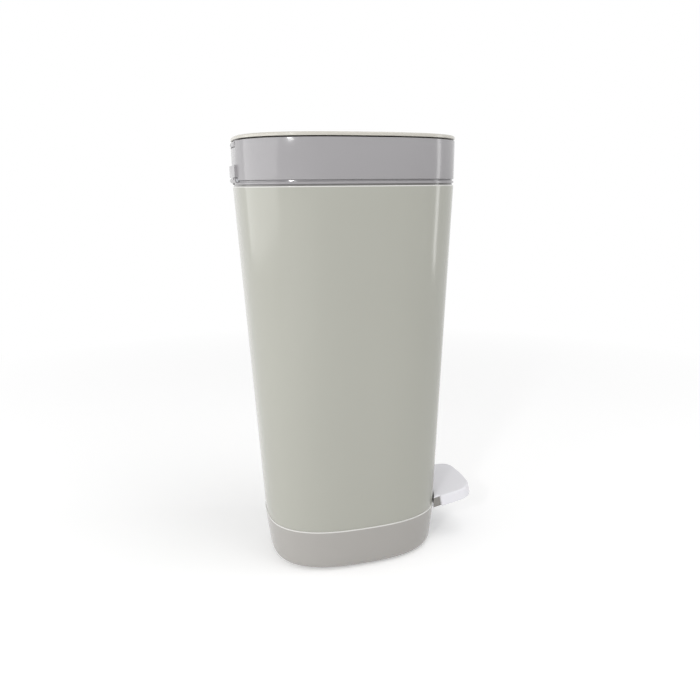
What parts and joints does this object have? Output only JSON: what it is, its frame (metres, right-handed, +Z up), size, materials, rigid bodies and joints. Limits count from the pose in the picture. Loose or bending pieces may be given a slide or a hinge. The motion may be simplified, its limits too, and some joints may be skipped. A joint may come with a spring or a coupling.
{
  "type": "nappy bin",
  "caption": "Tall tapered oval nappy bin with a hinged head that holds a refill cassette and sprung flaps, and a lid opened by a foot pedal",
  "frame": {"origin": "on the floor, at the centre of the base's footprint", "axes": "+Z up; -Y is the front, where the pedal is; X runs across the width"},
  "size_m": [0.229, 0.3462, 0.6],
  "materials": {
    "base_plastic": "glossy moulded polypropylene, taupe grey",
    "body_plastic": "glossy moulded polypropylene, warm light grey",
    "head_plastic": "glossy moulded plastic, lilac grey",
    "collar_plastic": "glossy moulded plastic, pale grey",
    "lid_plastic": "glossy moulded plastic, off-white",
    "pedal_plastic": "satin moulded plastic, near white",
    "inner_plastic": "matt moulded plastic, grey",
    "guide_plastic": "matt acetal, off-white",
    "dark_plastic": "matt moulded plastic, mid grey",
    "plated_steel": "bright zinc-plated steel",
    "blade_steel": "ground stainless steel",
    "cassette_plastic": "thin moulded plastic, white",
    "film": "gathered polyethylene film, translucent pale blue",
    "seal_rubber": "soft moulded rubber, dark grey"
  },
  "bodies": {
    "bin": {"base": "base_plastic", "bottom_plate": "dark_plastic", "pedal_bracket": "plated_steel", "bracket_screws": "plated_steel", "pedal_axle": "plated_steel", "floor_panel": "inner_plastic", "body_shell": "body_plastic", "rod_channel": "inner_plastic", "rod_guide_lower": "guide_plastic", "rod_guide_middle": "guide_plastic", "rod_guide_upper": "guide_plastic", "return_spring": "plated_steel", "collar_ring": "collar_plastic", "film_cutter": "guide_plastic", "cutter_blade": "blade_steel", "head_hinge_pin": "plated_steel"},
    "pedal": {"pedal": "pedal_plastic", "pedal_lever": "plated_steel", "pedal_screws": "plated_steel"},
    "rod": {"push_rod": "plated_steel", "rod_collar": "dark_plastic", "rod_tip": "guide_plastic", "rod_foot": "guide_plastic"},
    "head": {"head_shell": "head_plastic", "deck": "lid_plastic", "cassette_well": "lid_plastic", "lid_hinge_pin": "plated_steel", "refill_cassette": "cassette_plastic", "film_pack": "film", "flap_pins": "plated_steel", "flap_springs": "plated_steel"},
    "lid": {"lid": "lid_plastic", "lid_liner": "lid_plastic", "lid_seal": "seal_rubber", "lid_crank": "head_plastic"},
    "flap_left": {"flap_left": "guide_plastic"},
    "flap_right": {"flap_right": "guide_plastic"}
  },
  "joints": [
    {"name": "lid_open", "type": "hinge", "parent": "head", "child": "lid", "pos_m": [0, 0.1498, 0.591], "axis": [-1, 0, 0], "range_deg": [0, 75]},
    {"name": "pedal_press", "type": "hinge", "parent": "bin", "child": "pedal", "pos_m": [0, -0.02, 0.03], "axis": [1, 0, 0], "range_deg": [0, 12.05]},
    {"name": "rod_rise", "type": "slide", "parent": "bin", "child": "rod", "axis": [0, 0.0533, 0.9986], "range_m": [0, 0.0269], "deforming": ["return_spring"]},
    {"name": "head_tilt", "type": "hinge", "parent": "bin", "child": "head", "pos_m": [0, 0.1522, 0.5452], "axis": [-1, 0, 0], "range_deg": [0, 85]},
    {"name": "flap_left_swing", "type": "hinge", "parent": "head", "child": "flap_left", "pos_m": [-0.066, 0.0055, 0.5457], "axis": [0, 1, 0], "range_deg": [0, 75], "stiffness_Nm_per_rad": 0.05, "springref_deg": -28.65},
    {"name": "flap_right_swing", "type": "hinge", "parent": "head", "child": "flap_right", "pos_m": [0.066, 0.0055, 0.5457], "axis": [0, -1, 0], "range_deg": [0, 75], "stiffness_Nm_per_rad": 0.05, "springref_deg": -28.65}
  ],
  "couplings": [
    {"joint": "pedal_press", "follows": "lid_open", "ratio": 0.16},
    {"joint": "rod_rise", "follows": "lid_open", "m_per_rad": 0.020474}
  ]
}
